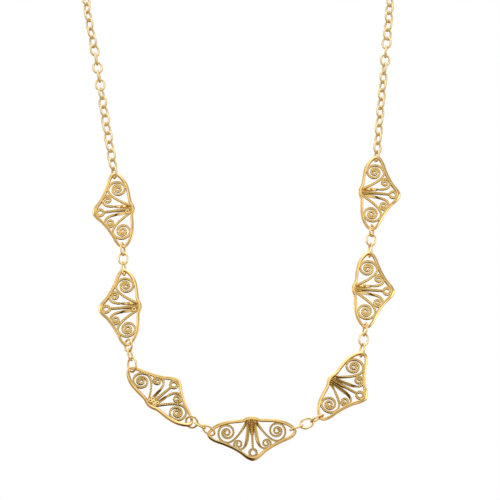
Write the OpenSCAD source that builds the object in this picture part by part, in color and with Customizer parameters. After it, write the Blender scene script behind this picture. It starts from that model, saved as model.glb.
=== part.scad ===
// Drapery necklace, in millimetres: seven filigree plaques that hang from a trace chain.
// It is posed as worn. +Z is up, the front faces -Y, and the origin is where it rests on the nape.

/* [Plaque] */
// Length of a plaque from end to end
plaque_length = 22.6; // [22.2:0.1:23]
// Height of a plaque from its bump to its point
plaque_height = 11.3; // [11:0.1:11.6]
// Front to back depth of the frame wire
frame_depth = 0.8; // [0.7:0.05:0.8]
// Front to back depth of the scroll ribbons
ribbon_depth = 0.7; // [0.5:0.05:0.75]
// Thickness of the scroll ribbons, seen from the front
ribbon = 0.52; // [0.3:0.02:0.56]
// Greatest width of the leaf in a crook's stalk
leaf_width = 1; // [0.7:0.05:1.1]
// Radius of the eyelet at the foot of the centre stalk
eyelet_radius = 1.2; // [1:0.05:1.3]
// Radius of the eyelet's hole
eyelet_hole = 0.6; // [0.4:0.05:0.8]
// Radius of the grain of metal beside a leaf
grain_radius = 0.36; // [0.25:0.01:0.4]

/* [Gathered band] */
// Width of the band that gathers the ribbons under the bump
band_width = 2.9; // [2.4:0.1:3.2]
// Height of the band
band_height = 0.95; // [0.8:0.05:1.1]
// Number of upright ridges on the band
ridges = 7; // [5:1:8]

/* [Trace chain] */
// Links in the left strand, an odd number
left_links = 45; // [43:2:47]
// Links in the right strand, an odd number
right_links = 43; // [41:2:45]
// Outer width of a chain link
link_width = 2.75; // [2.6:0.05:2.9]
// Outer width of the first link of each strand, which holds the plaque
first_link_width = 2.75; // [2.6:0.05:2.9]
// Thickness of the wire of every link
link_wire = 0.46; // [0.4:0.02:0.46]
// Slack between two links where they meet
play = 0.12; // [0.1:0.01:0.2]
// Turn of every other link to either side of the strand
link_turn = 45; // [40:1:50]

/* [Clasp] */
// Diameter of the clasp ring, to the middle of its tube
clasp_diameter = 5.4; // [5:0.1:6]
// Thickness of the clasp's tube
clasp_tube = 1.1; // [0.9:0.05:1.3]
// Diameter of the clasp's small loop, to the middle of its wire
loop_diameter = 2.2; // [2:0.1:2.4]
// Diameter of the plain ring that the clasp holds, to the middle of its wire
end_ring_diameter = 3.4; // [3.2:0.1:3.8]
// Thickness of the wire of the loop and the plain ring
end_wire = 0.6; // [0.5:0.05:0.7]

/* [Hidden] */

gold = [0.86, 0.68, 0.36];
link_gold = [0.9, 0.74, 0.44];
chain_sides = 12;
wire_sides = 5;
join_sides = 12;
join_wire_sides = 6;

// Where each plaque hangs: middle of its ends, turn in its own plane, lean back from upright,
// turn about the upright, and the side that carries a grain (-1 left, 1 right, 0 none).
// The third plaque hangs turned over, back to front.
// columns: x, y, z, roll, lean, yaw, over, grain
PLAQUES = [
    [-31.45,  -70.8,  -79.46, -82.6, 26.3,  0,   0, -1],
    [-28.99,  -84.4, -104.91, -85.3, 29.1, -2.3, 0, -1],
    [-19.67,  -96,   -127.28, -47.3, 32.6,  8.4, 1,  0],
    [  3.77, -100,   -136.29,   2.2,  9.1,  0.3, 0,  0],
    [ 26.97,  -94,   -124.73,  57.2, 29.3,  4.4, 0,  0],
    [ 34.07,  -80.2, -100.44,  84.5, 28.4,  3.8, 0,  1],
    [ 36.43,  -67,    -74.84,  83.6, 26.7,  3,   0,  1]
];

// Right half of the frame's outline, from the bump down to the point, on a plaque 22.6 by 11.3,
// with the width of the wire there. columns: across, up, wire
OUTLINE = [
    [0, 4.2, 0.95], [1, 4.02, 0.9], [2.3, 3.56, 0.8], [4.3, 3.43, 0.75], [6.6, 3.2, 0.75],
    [8.4, 2.7, 0.75], [10, 1.8, 0.75], [11, 0.85, 0.75], [11.3, -0.05, 0.75], [10.8, -1.1, 0.75],
    [9.4, -2.02, 0.75], [7.4, -2.8, 0.75], [5.2, -3.85, 0.75], [3.2, -5.1, 0.78],
    [1.6, -6.45, 0.85], [0, -7.1, 1]
];
outline_length = 22.6;
outline_height = 11.3;
outline_steps = 3;

// Distance from a coil's middle to its ribbon, for each quarter turn from the coil's foot inwards.
// columns: quarter turns, radius
COIL = [
    [0, 2.57], [1, 2.05], [2, 1.9], [3, 1.76], [4, 1.36], [5, 1.1], [6, 0.9], [7, 0.76], [8.5, 0.6]
];
coil_middle = [6.4, 0.3];
coil_turns = 2.1;
coil_stalk = [[1.13, 2.7], [2.73, 0.27], [4.5, -2.27]];

CROOK = [[0, 1.25], [1, 1.1], [2, 0.98], [3, 0.82], [4, 0.6], [5, 0.45]];
crook_middle = [3.55, -2.8];
crook_turns = 1.2;
crook_stalk = [[0.8, 2.7], [1.15, -1.2], [0.95, -4.25]];
path_step = 22.5;
stalk_steps = 6;

// Middle line and width of the leaf, as a share of leaf_width. columns: across, up, share
LEAF = [
    [0.78, 1.9, 0.3], [0.86, 0.9, 0.6], [0.98, -0.2, 0.95], [1.16, -1.3, 1], [1.38, -2.3, 0.8],
    [1.7, -3.2, 0.4]
];
leaf_depth = 0.5;
stem_top = [0, 3];
stem_foot = [0.1, -4.2];
stem_width = 0.52;
eyelet_middle = [0.1, -5.05];
band_middle = [0, 3.1];
band_depth = 0.9;
ridge_radius = 0.24;
grain_place = [1.15, 0.85];
grain_rise = 0.3;

// How the three links between two plaques hang. inset and up say where a link holds a plaque,
// measured in from the plaque's end and up from its long axis. meet gives the two places where
// links meet, as a share of the way, and lift raises them.
// columns: inset a, up a, inset b, up b, meet a, meet b, lift
GAPS = [
    [1.5, -0.1, 1.7, -0.1, 0.347, 0.633,  0],
    [1.8,  0.1, 1.6, -0.3, 0.326, 0.612,  0],
    [1.9,  0.1, 1.8,  0.1, 0.36,  0.644,  0.45],
    [1.6,  0.3, 1.4,  0.1, 0.345, 0.66,  -0.15],
    [1.4,  0.1, 1.5,  0.1, 0.36,  0.659,  0],
    [1.4, -0.1, 1.6, -0.1, 0.389, 0.684,  0]
];
// Turn of each link about its length, 0 facing forward, and its outer width.
// columns: turn a, width a, turn b, width b, turn c, width c
TURNS = [
    [-66, 2.4,    0, 2.7, -60, 2.3],
    [ 54, 3.25, -55, 2.2,  48, 3.35],
    [ 36, 3.4,  -60, 2.1,  60, 2.9],
    [-78, 2.2,  -10, 3,    84, 2.6],
    [-66, 2.65,  10, 2.7, -66, 2.4],
    [-72, 2.6,    0, 2.7,  60, 2.5]
];

// Way of each strand round the neck, from the plaque to the nape. The first and last points
// come from what the strand hangs on. facing turns from 0 at the front to 180 at the nape.
// columns: x, y, z, facing
LEFT_WAY = [
    [-36.06, -57.6, -53.3, 2], [-38.91, -49.5, -37.5, 4], [-42.1, -41.5, -21.69, 8],
    [-42.6, -29.5, -11.6, 60], [-36.6, -16.5, -5.4, 110], [-22.5, -4.8, -1.6, 155]
];
RIGHT_WAY = [
    [38.62, -56.2, -53.15, 2], [40.45, -48.3, -37.33, 4], [42.15, -40.5, -21.59, 8],
    [42.6, -29, -11.4, 60], [36.6, -16.5, -5.4, 110], [22.5, -4.8, -1.6, 155]
];
strand_inset = 1.43;
way_steps = 10;
nape_facing = 180;
// Extra turn of the links along a strand, where it is twisted. columns: link, degrees
LEFT_TWIST = [[0, 17], [1, -10], [8, -10], [10, -45], [13, -50], [15, -100], [42, -100], [44, -135]];
RIGHT_TWIST = [[0, -107], [1, -100], [9, -100], [11, -135], [12, -140], [14, -190], [40, -190], [42, -225]];

meet_gap = link_wire + play;
loop_meet = (link_wire + end_wire) / 2 + play;
loop_x = -(clasp_diameter + loop_diameter) / 2 + end_wire / 3;
end_ring_x = clasp_diameter / 2 + end_ring_diameter / 2 - clasp_tube / 2 - end_wire / 2 - play;
nape_left = [loop_x - loop_diameter / 2 + loop_meet, 0, 0];
nape_right = [end_ring_x + end_ring_diameter / 2 - loop_meet, 0, 0];

function unit(v) = v / norm(v);
function mix(a, b, t) = a * (1 - t) + b * t;
function flat(p) = [p.x, p.y];
function solid(p) = [p[0], p[1], p[2]];

// Points on smooth curves
function bend(a, b, c, d, t) = 0.5 * (2 * b + (c - a) * t + (2 * a - 5 * b + 4 * c - d) * t * t
    + (3 * b - a - 3 * c + d) * t * t * t);
function smooth_open(p, steps) = [
    for (i = [0 : len(p) - 2], k = [0 : steps - 1])
        bend(p[max(i - 1, 0)], p[i], p[i + 1], p[min(i + 2, len(p) - 1)], k / steps),
    p[len(p) - 1]
];
function smooth_closed(p, steps) = [
    for (i = [0 : len(p) - 1], k = [0 : steps - 1])
        bend(p[(i + len(p) - 1) % len(p)], p[i], p[(i + 1) % len(p)], p[(i + 2) % len(p)], k / steps)
];
function bow(a, b, c, d, t) = a * pow(1 - t, 3) + b * 3 * t * pow(1 - t, 2) + c * 3 * t * t * (1 - t)
    + d * pow(t, 3);

// A stalk that swings into a coil: the coil starts at its foot and winds inwards
function coil_point(middle, radii, quarters) = middle
    + lookup(quarters, radii) * [sin(90 * quarters), -cos(90 * quarters)];
function scroll(stalk, middle, radii, turns) = [
    for (k = [0 : stalk_steps - 1])
        bow(stalk[0], stalk[1], stalk[2], coil_point(middle, radii, 0), k / stalk_steps),
    for (a = [0 : path_step : 360 * turns]) coil_point(middle, radii, a / 90)
];

// Sideways direction at each point of a flat path
function across(p, i, closed = false) =
    let (last = len(p) - 1,
         before = closed ? p[(i + last) % len(p)] : p[max(i - 1, 0)],
         after = closed ? p[(i + 1) % len(p)] : p[min(i + 1, last)],
         way = unit(flat(after) - flat(before)))
    [-way.y, way.x];

// Flat strip of a given width along a path; a third column of the path scales the width
module strip(p, width) {
    half = [for (q = p) width / 2 * (len(q) > 2 ? q[2] : 1)];
    left = [for (i = [0 : len(p) - 1]) flat(p[i]) + half[i] * across(p, i)];
    right = [for (i = [len(p) - 1 : -1 : 0]) flat(p[i]) - half[i] * across(p, i)];
    polygon(concat(left, right));
}

module slab(depth) {
    translate([0, 0, -depth / 2])
        linear_extrude(depth) children();
}

// Turning and moving a point from a plaque's own frame to the necklace's
function about_x(p, a) = [p.x, p.y * cos(a) - p.z * sin(a), p.y * sin(a) + p.z * cos(a)];
function about_z(p, a) = [p.x * cos(a) - p.y * sin(a), p.x * sin(a) + p.y * cos(a), p.z];
function turned(p, pose) =
    about_z(about_x(about_z(about_x(p, 180 * pose[6]), pose[3]), 90 - pose[4]), pose[5]);
function placed(p, pose) = solid(pose) + turned(p, pose);
function forward(pose) = turned([0, 0, pose[6] == 1 ? -1 : 1], pose);

module pose_plaque(pose) {
    translate(solid(pose))
        rotate([0, 0, pose[5]])
            rotate([90 - pose[4], 0, 0])
                rotate([0, 0, pose[3]])
                    rotate([180 * pose[6], 0, 0])
                        children();
}

// Closed frame wire: the outline less the outline drawn in by the wire's width
module frame() {
    stretch = [plaque_length / outline_length, plaque_height / outline_height, 1];
    right = [for (q = OUTLINE) [q[0] * stretch.x, q[1] * stretch.y, q[2]]];
    left = [for (i = [len(right) - 2 : -1 : 1]) [-right[i][0], right[i][1], right[i][2]]];
    outer = smooth_closed(concat(right, left), outline_steps);
    inner = [for (i = [0 : len(outer) - 1]) flat(outer[i]) - outer[i][2] * across(outer, i, true)];
    slab(frame_depth)
        difference() {
            polygon([for (q = outer) flat(q)]);
            polygon(inner);
        }
}

// Large coil, crook and leaf of the right-hand side
module scrolls() {
    slab(ribbon_depth)
        strip(scroll(coil_stalk, coil_middle, COIL, coil_turns), ribbon);
    slab(ribbon_depth)
        strip(scroll(crook_stalk, crook_middle, CROOK, crook_turns), ribbon);
    slab(leaf_depth)
        strip(smooth_open(LEAF, 3), leaf_width);
}

module stem() {
    slab(ribbon_depth)
        strip([stem_top, stem_foot], stem_width);
    translate(eyelet_middle)
        slab(ribbon_depth)
            difference() {
                circle(eyelet_radius, $fn = 12);
                circle(eyelet_hole, $fn = 12);
            }
}

module gathered_band() {
    pitch = band_width / ridges;
    translate(band_middle) {
        cube([band_width, band_height, band_depth], center = true);
        for (i = [0 : ridges - 1])
            translate([(i - (ridges - 1) / 2) * pitch, -band_height / 2, band_depth / 2])
                rotate([-90, 0, 0])
                    cylinder(r = ridge_radius, h = band_height, $fn = 6);
    }
}

module plaque(grain) {
    frame();
    scrolls();
    mirror([1, 0, 0])
        scrolls();
    stem();
    gathered_band();
    if (grain != 0)
        translate([grain * grain_place.x, grain_place.y, grain_rise])
            sphere(grain_radius, $fn = 24);
}

module hung_plaque(i) {
    color(gold)
        pose_plaque(PLAQUES[i])
            plaque(PLAQUES[i][7]);
}

// Closed link of round wire. a and b are the middles of its wire at its two ends, facing is the
// way it looks at turn 0, and turn spins it about its length.
module link_between(a, b, facing, turn, width, sides, wire_sides) {
    along = unit(b - a);
    ahead = unit(facing - (facing * along) * along);
    beside = cross(along, ahead);
    normal = cos(turn) * ahead + sin(turn) * beside;
    wide = cross(normal, along);
    bend_radius = (width - link_wire) / 2;
    straight = max(norm(b - a) / 2 - bend_radius, 0);
    end_radius = norm(b - a) / 2 - straight;
    step = 360 / sides;
    reach = 1 / cos(step / 2);
    points = [
        for (i = [0 : sides - 1], k = [0 : wire_sides - 1])
            let (at = (i + 0.5) * step - 90,
                 round = 360 / wire_sides * k,
                 out = cos(at) * along + sin(at) * wide,
                 middle = mix(a, b, 0.5) + (cos(at) > 0 ? straight : -straight) * along
                    + reach * (end_radius * cos(at) * along + bend_radius * sin(at) * wide))
            middle + link_wire / 2 * (cos(round) * out + sin(round) * normal)
    ];
    faces = [
        for (i = [0 : sides - 1], k = [0 : wire_sides - 1])
            let (next = (i + 1) % sides, beyond = (k + 1) % wire_sides)
            [i * wire_sides + beyond, next * wire_sides + beyond, next * wire_sides + k, i * wire_sides + k]
    ];
    polyhedron(points, faces, convexity = 4);
}

// The three links between plaque i and the next: which is 0, 1 or 2
module joining_link(i, which) {
    g = GAPS[i];
    half = plaque_length / 2;
    start = placed([half - g[0], g[1], 0], PLAQUES[i]);
    end = placed([-half + g[2], g[3], 0], PLAQUES[i + 1]);
    facing = unit(forward(PLAQUES[i]) + forward(PLAQUES[i + 1]));
    lift = [0, 0, g[6]];
    first = mix(start, end, g[4]) + lift;
    second = mix(start, end, g[5]) + lift;
    a = [start, first - meet_gap / 2 * unit(second - first), second - meet_gap / 2 * unit(end - second)];
    b = [first + meet_gap / 2 * unit(first - start), second + meet_gap / 2 * unit(second - first), end];
    color(link_gold)
        link_between(a[which], b[which], facing, TURNS[i][2 * which], TURNS[i][2 * which + 1],
            join_sides, join_wire_sides);
}

// Length of the way up to each of its points
function lengths(p) = [
    for (s = 0, i = 0; i < len(p); s = s + norm(solid(p[min(i + 1, len(p) - 1)]) - solid(p[i])), i = i + 1) s
];
function column(keys, p, c) = [for (i = [0 : len(p) - 1]) [keys[i], p[i][c]]];

// One strand: links at equal steps along a smooth way, turned to either side in turn
module strand(start, way, end, links, twist) {
    guide = smooth_open(concat([concat(start, 0)], way, [concat(end, nape_facing)]), way_steps);
    keys = lengths(guide);
    line = [for (c = [0 : 3]) column(keys, guide, c)];
    step = keys[len(keys) - 1] / links;
    side = sign(end.x);
    places = [
        for (i = [0 : links])
            [for (c = [0 : 3]) lookup(i * step, line[c])]
    ];
    for (i = [0 : links - 1]) {
        here = solid(places[i]);
        there = solid(places[i + 1]);
        reach = meet_gap / 2 * unit(there - here);
        a = i == 0 ? here : here - reach;
        b = i == links - 1 ? there : there + reach;
        look = (places[i][3] + places[i + 1][3]) / 2;
        facing = [side * sin(look), -cos(look), 0];
        turn = side * ((i % 2 == 0 ? link_turn : -link_turn) + lookup(i, twist));
        width = i == 0 ? first_link_width : link_width;
        link_between(a, b, facing, turn, width, chain_sides, wire_sides);
    }
}

module chain_left() {
    color(link_gold)
        strand(placed([strand_inset - plaque_length / 2, 0, 0], PLAQUES[0]), LEFT_WAY, nape_left,
            left_links, LEFT_TWIST);
}

module chain_right() {
    color(link_gold)
        strand(placed([plaque_length / 2 - strand_inset, 0, 0], PLAQUES[6]), RIGHT_WAY, nape_right,
            right_links, RIGHT_TWIST);
}

module ring(diameter, wire) {
    rotate_extrude($fn = 48)
        translate([diameter / 2, 0])
            circle(wire / 2, $fn = 16);
}

// Plain round clasp with the small loop that its strand is linked to
module clasp() {
    color(gold)
        rotate([90, 0, 0]) {
            ring(clasp_diameter, clasp_tube);
            translate([loop_x, 0, 0])
                ring(loop_diameter, end_wire);
        }
}

// Ring on the other strand, which the clasp holds
module clasp_end_ring() {
    color(link_gold)
        translate([end_ring_x, 0, 0])
            ring(end_ring_diameter, end_wire);
}

hung_plaque(0);  // plaque_1
hung_plaque(1);  // plaque_2
hung_plaque(2);  // plaque_3
hung_plaque(3);  // plaque_4
hung_plaque(4);  // plaque_5
hung_plaque(5);  // plaque_6
hung_plaque(6);  // plaque_7
joining_link(0, 0);  // link_12_a
joining_link(0, 1);  // link_12_b
joining_link(0, 2);  // link_12_c
joining_link(1, 0);  // link_23_a
joining_link(1, 1);  // link_23_b
joining_link(1, 2);  // link_23_c
joining_link(2, 0);  // link_34_a
joining_link(2, 1);  // link_34_b
joining_link(2, 2);  // link_34_c
joining_link(3, 0);  // link_45_a
joining_link(3, 1);  // link_45_b
joining_link(3, 2);  // link_45_c
joining_link(4, 0);  // link_56_a
joining_link(4, 1);  // link_56_b
joining_link(4, 2);  // link_56_c
joining_link(5, 0);  // link_67_a
joining_link(5, 1);  // link_67_b
joining_link(5, 2);  // link_67_c
chain_left();
chain_right();
clasp();
clasp_end_ring();
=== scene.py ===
import math
from functools import partial
import bmesh
import bpy
import numpy as np
from mathutils import Matrix, Vector


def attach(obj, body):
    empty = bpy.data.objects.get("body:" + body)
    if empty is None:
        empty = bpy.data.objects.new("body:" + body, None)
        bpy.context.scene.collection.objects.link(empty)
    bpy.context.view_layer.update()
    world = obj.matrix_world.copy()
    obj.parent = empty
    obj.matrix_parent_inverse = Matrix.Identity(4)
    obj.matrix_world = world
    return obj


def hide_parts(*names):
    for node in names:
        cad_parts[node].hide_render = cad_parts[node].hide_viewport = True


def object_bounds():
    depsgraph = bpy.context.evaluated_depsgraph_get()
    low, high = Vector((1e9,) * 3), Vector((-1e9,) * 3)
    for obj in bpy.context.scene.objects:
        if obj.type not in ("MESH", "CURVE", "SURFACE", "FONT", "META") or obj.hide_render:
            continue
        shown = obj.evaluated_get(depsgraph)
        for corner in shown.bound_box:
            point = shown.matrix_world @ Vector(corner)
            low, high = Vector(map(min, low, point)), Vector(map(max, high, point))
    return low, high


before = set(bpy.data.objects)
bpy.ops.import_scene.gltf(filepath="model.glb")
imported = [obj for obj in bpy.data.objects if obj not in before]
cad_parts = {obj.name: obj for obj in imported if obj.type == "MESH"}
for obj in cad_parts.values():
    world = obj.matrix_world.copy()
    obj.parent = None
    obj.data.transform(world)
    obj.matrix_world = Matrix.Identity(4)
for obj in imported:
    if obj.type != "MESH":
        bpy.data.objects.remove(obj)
cadLow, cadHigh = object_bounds()
print("frame loaded:", len(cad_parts), "nodes")

# Pieces are built in millimetres and become metres when they get their place.
toMetres = Matrix.Scale(0.001, 4)


# Nodes

def put(tree, kind, sockets=None, **settings):
    # Adds a node. Its sockets are named or numbered, and take a value or another node's output.
    node = tree.nodes.new(kind)
    for key, value in settings.items():
        setattr(node, key, value)
    for key, value in (sockets or {}).items():
        socket = node.inputs[key] if isinstance(key, int) else \
            next(s for s in node.inputs if s.name == key and s.enabled)
        if isinstance(value, bpy.types.NodeSocket):
            tree.links.new(value, socket)
        else:
            socket.default_value = value
    return node


def reckon(tree, operation, *values):
    return put(tree, "ShaderNodeMath", dict(enumerate(values)), operation=operation).outputs[0]


def product(tree, first, *others):
    for other in others:
        first = reckon(tree, "MULTIPLY", first, other)
    return first


def reckonVector(tree, operation, *values):
    places = [3 if operation == "SCALE" and i == 1 else i for i in range(len(values))]
    node = put(tree, "ShaderNodeVectorMath", dict(zip(places, values)), operation=operation)
    return node.outputs["Value" if operation == "DOT_PRODUCT" else "Vector"]


def smoothRamp(tree, value, start, end):
    sockets = {0: value, 1: start, 2: end}
    return put(tree, "ShaderNodeMapRange", sockets, interpolation_type="SMOOTHSTEP").outputs[0]


def mixColours(tree, share, first, second):
    sockets = {0: share, 6: first, 7: second}
    return put(tree, "ShaderNodeMix", sockets, data_type="RGBA").outputs[2]


# Camera and light, in metres

photoView = {
    "place": (0.0033, -0.7, -0.09), "nearest": 0.01, "farthest": 20,
    "halfWidth": 250, "focalLength": 2371.5,  # in pixels of the photo
}


def makeCamera():
    camera = bpy.data.objects.new("camera", bpy.data.cameras.new("camera"))
    camera.data.angle = 2 * math.atan(photoView["halfWidth"] / photoView["focalLength"])
    camera.data.clip_start = photoView["nearest"]
    camera.data.clip_end = photoView["farthest"]
    camera.location = photoView["place"]
    camera.rotation_euler = (math.radians(90), 0, 0)
    bpy.context.collection.objects.link(camera)
    bpy.context.scene.camera = camera
    bpy.context.scene.view_settings.view_transform = "Standard"


# A light tent of cloth round the necklace, with a dark gap where the lens looks in
studio = {
    # colour of the cloth by height, from straight below at 0 to straight above at 1
    "tent": [(0.0, (0.05, 0.03, 0.01)), (0.04, (0.14, 0.09, 0.04)), (0.09, (0.5, 0.37, 0.2)),
             (0.2, (0.58, 0.45, 0.26)), (0.42, (0.5, 0.4, 0.26)), (0.56, (0.52, 0.47, 0.38)),
             (0.72, (0.6, 0.58, 0.53)), (0.81, (0.42, 0.41, 0.4)), (0.93, (0.44, 0.43, 0.42)),
             (0.955, (0.95, 0.99, 1.06)), (0.99, (2.0, 2.2, 2.6))],
    # round patches on it, later ones on top: azimuth from the lens's side, elevation, inner and outer
    # radius, colour
    "patches": [(180, 25, 30, 58, (1.1, 1.2, 1.4)),
                (180, -48, 10, 24, (0.32, 0.24, 0.13)),
                (-66, 32, 6, 18, (1.05, 1.1, 1.25)),
                (60, 28, 5, 16, (1.05, 1.1, 1.25)),
                (0, 60, 9, 19, (1.35, 1.42, 1.55)),
                (0, 16, 11, 25, (1.2, 1.22, 1.3)),
                (27, -5, 9, 17, (0.95, 0.9, 0.8)),
                (-15, -20, 19, 29, (0.012, 0.007, 0.002)),  # the gap
                (25, -36, 5, 13, (1.0, 1.05, 1.15)),
                (-35, -40, 4, 12, (0.9, 0.9, 0.95))],
    "backdrop": (1, 1, 1),
}


def towards(azimuth, elevation):
    a, e = math.radians(azimuth), math.radians(elevation)
    return math.sin(a) * math.cos(e), -math.cos(a) * math.cos(e), math.sin(e)


def makeWorld():
    # The tent lights the gold and shows in it, and the lens itself sees a plain backdrop.
    world = bpy.data.worlds.new("studio")
    bpy.context.scene.world = world
    world.use_nodes = True
    tree = world.node_tree
    tree.nodes.clear()
    direction = reckonVector(tree, "NORMALIZE", put(tree, "ShaderNodeTexCoord").outputs["Generated"])
    height = put(tree, "ShaderNodeSeparateXYZ", {0: direction}).outputs["Z"]
    ramp = put(tree, "ShaderNodeValToRGB", {0: reckon(tree, "MULTIPLY_ADD", height, 0.5, 0.5)})
    ramp.color_ramp.interpolation = "EASE"
    while len(ramp.color_ramp.elements) < len(studio["tent"]):
        ramp.color_ramp.elements.new(0.5)
    for element, (place, colour) in zip(ramp.color_ramp.elements, studio["tent"]):
        element.position = place
        element.color = (*colour, 1)
    cloth = ramp.outputs[0]
    for azimuth, elevation, inner, outer, colour in studio["patches"]:
        facing = reckonVector(tree, "DOT_PRODUCT", direction, towards(azimuth, elevation))
        within = smoothRamp(tree, facing, math.cos(math.radians(outer)), math.cos(math.radians(inner)))
        cloth = mixColours(tree, within, cloth, (*colour, 1))
    tent = put(tree, "ShaderNodeBackground", {"Color": cloth})
    backdrop = put(tree, "ShaderNodeBackground", {"Color": (*studio["backdrop"], 1)})
    seen = put(tree, "ShaderNodeLightPath").outputs["Is Camera Ray"]
    mixed = put(tree, "ShaderNodeMixShader", {0: seen, 1: tent.outputs[0], 2: backdrop.outputs[0]})
    put(tree, "ShaderNodeOutputWorld", {"Surface": mixed.outputs[0]})


softBoxes = [
    {"name": "leftLamp", "place": (-0.5, -0.3, 0.4), "size": 0.3, "power": 0.5},
    {"name": "rightLamp", "place": (0.5, -0.35, 0.25), "size": 0.3, "power": 0.45},
]


def makeLights():
    middle = (cadLow + cadHigh) / 2
    for box in softBoxes:
        lamp = bpy.data.lights.new(box["name"], "AREA")
        lamp.size = box["size"]
        lamp.energy = box["power"]
        light = bpy.data.objects.new(box["name"], lamp)
        light.location = box["place"]
        light.rotation_euler = (middle - Vector(box["place"])).to_track_quat("-Z", "Y").to_euler()
        bpy.context.collection.objects.link(light)


floorSheet = {
    "height": -0.3, "half": 1.2, "tones": ((0.9, 0.9, 0.89), (0.94, 0.94, 0.93)), "grain": 30.0,
    "roughness": 0.9,
}


def makeFloor():
    mesh = bpy.data.meshes.new("floor")
    build = bmesh.new()
    bmesh.ops.create_grid(build, x_segments=2, y_segments=2, size=floorSheet["half"])
    build.to_mesh(mesh)
    build.free()
    mesh.transform(Matrix.Translation((0, 0, floorSheet["height"])))
    floor = bpy.data.objects.new("floor", mesh)
    bpy.context.collection.objects.link(floor)
    paint = bpy.data.materials.new("paleFloor")
    paint.use_nodes = True
    tree = paint.node_tree
    shader = tree.nodes["Principled BSDF"]
    shader.inputs["Roughness"].default_value = floorSheet["roughness"]
    speckle = put(tree, "ShaderNodeTexNoise", {"Scale": floorSheet["grain"]}).outputs["Fac"]
    dark, light = ((*tone, 1) for tone in floorSheet["tones"])
    tree.links.new(mixColours(tree, speckle, dark, light), shader.inputs["Base Color"])
    mesh.materials.append(paint)
    floor.visible_glossy = False


makeCamera()
makeWorld()
makeLights()
makeFloor()
print("camera, light and floor are set")


# Gold finishes

goldWear = {
    "clouds": {"Scale": 420.0, "Detail": 3.0}, "scuffs": {"Scale": 3600.0, "Detail": 4.0},
    # between which cloud values the gold stains, and what a scuff and a groove add to the roughness
    "stainFrom": 0.42, "stainTo": 0.72, "scuffRoughness": 0.08, "grooveRoughness": 0.15,
    # how scuffs and polish lines show, and their depth in metres
    "bump": 0.1, "bumpDepth": 0.00002,
}
polish = {"streaks": {"Scale": 0.6, "Detail": 2.0}, "stretch": 0.25, "roughness": 0.06}
# Each gold where it is bright, its darker colour for painted shade and stains, and how close its polish
# lines lie
goldFinishes = {
    "frameGold": {"bright": (0.95, 0.645, 0.245), "deep": (0.42, 0.2, 0.04), "roughness": 0.16,
                  "patina": 0.28, "lines": 10.0},
    "milledGold": {"bright": (1.0, 0.7, 0.235), "deep": (0.14, 0.055, 0.004), "roughness": 0.16,
                   "patina": 0.1, "lines": 6.0},
    "linkGold": {"bright": (1.0, 0.73, 0.31), "deep": (0.5, 0.27, 0.06), "roughness": 0.12,
                 "patina": 0.12, "lines": 6.0},
    "chainGold": {"bright": (1.0, 0.82, 0.46), "deep": (0.85, 0.56, 0.2), "roughness": 0.45,
                  "patina": 0.12, "lines": 6.0},
}


def newShaderGroup(name, inputs, outputs):
    tree = bpy.data.node_groups.new(name, "ShaderNodeTree")
    for label, kind, value in inputs:
        socket = tree.interface.new_socket(label, in_out="INPUT", socket_type=kind)
        socket.default_value = value
    for label, kind in outputs:
        tree.interface.new_socket(label, in_out="OUTPUT", socket_type=kind)
    return tree, tree.nodes.new("NodeGroupInput"), tree.nodes.new("NodeGroupOutput")


def makeGoldTone():
    # Darkens the gold by painted shade in its notches, channels and side walls, and by clouds of patina,
    # and gives it fine scuffs.
    tree, given, result = newShaderGroup("goldTone", [
        ("Bright", "NodeSocketColor", (1, 0.7, 0.3, 1)), ("Shade And Stain", "NodeSocketColor", (0.4, 0.2, 0.03, 1)),
        ("Painted Shade", "NodeSocketFloat", 0.0), ("Patina", "NodeSocketFloat", 0.3),
        ("Roughness", "NodeSocketFloat", 0.2)], [
        ("Color", "NodeSocketColor"), ("Roughness", "NodeSocketFloat"), ("Height", "NodeSocketFloat")])
    place = put(tree, "ShaderNodeTexCoord").outputs["Object"]
    cloud = put(tree, "ShaderNodeTexNoise", {"Vector": place, **goldWear["clouds"]}).outputs["Fac"]
    scuff = put(tree, "ShaderNodeTexNoise", {"Vector": place, **goldWear["scuffs"]}).outputs["Fac"]
    stain = put(tree, "ShaderNodeMapRange", {0: cloud, 1: goldWear["stainFrom"], 2: goldWear["stainTo"]})
    worn = reckon(tree, "MULTIPLY", stain.outputs[0], given.outputs["Patina"])
    share = reckon(tree, "MAXIMUM", given.outputs["Painted Shade"], worn)
    tone = mixColours(tree, share, given.outputs["Bright"], given.outputs["Shade And Stain"])
    rough = reckon(tree, "MULTIPLY_ADD", scuff, goldWear["scuffRoughness"], given.outputs["Roughness"])
    rough = reckon(tree, "MULTIPLY_ADD", given.outputs["Painted Shade"], goldWear["grooveRoughness"], rough)
    tree.links.new(tone, result.inputs["Color"])
    tree.links.new(rough, result.inputs["Roughness"])
    tree.links.new(scuff, result.inputs["Height"])
    return tree


def makePolishLines():
    # Fine lines along a wire, from its length and the way round it.
    tree, given, result = newShaderGroup("polishLines", [
        ("Along", "NodeSocketFloat", 0.0), ("Around", "NodeSocketFloat", 0.0),
        ("Lines", "NodeSocketFloat", 14.0)], [
        ("Height", "NodeSocketFloat"), ("Roughness", "NodeSocketFloat")])
    turn = reckon(tree, "MULTIPLY", given.outputs["Around"], 2 * math.pi)
    stretch = reckon(tree, "MULTIPLY", given.outputs["Along"], polish["stretch"])
    east = reckon(tree, "MULTIPLY", reckon(tree, "COSINE", turn), given.outputs["Lines"])
    north = reckon(tree, "MULTIPLY", reckon(tree, "SINE", turn), given.outputs["Lines"])
    place = put(tree, "ShaderNodeCombineXYZ", {0: stretch, 1: east, 2: north}).outputs[0]
    streak = put(tree, "ShaderNodeTexNoise", {"Vector": place, **polish["streaks"]}).outputs["Fac"]
    tree.links.new(streak, result.inputs["Height"])
    tree.links.new(reckon(tree, "MULTIPLY", streak, polish["roughness"]), result.inputs["Roughness"])
    return tree


goldTone = makeGoldTone()
polishLines = makePolishLines()


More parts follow.
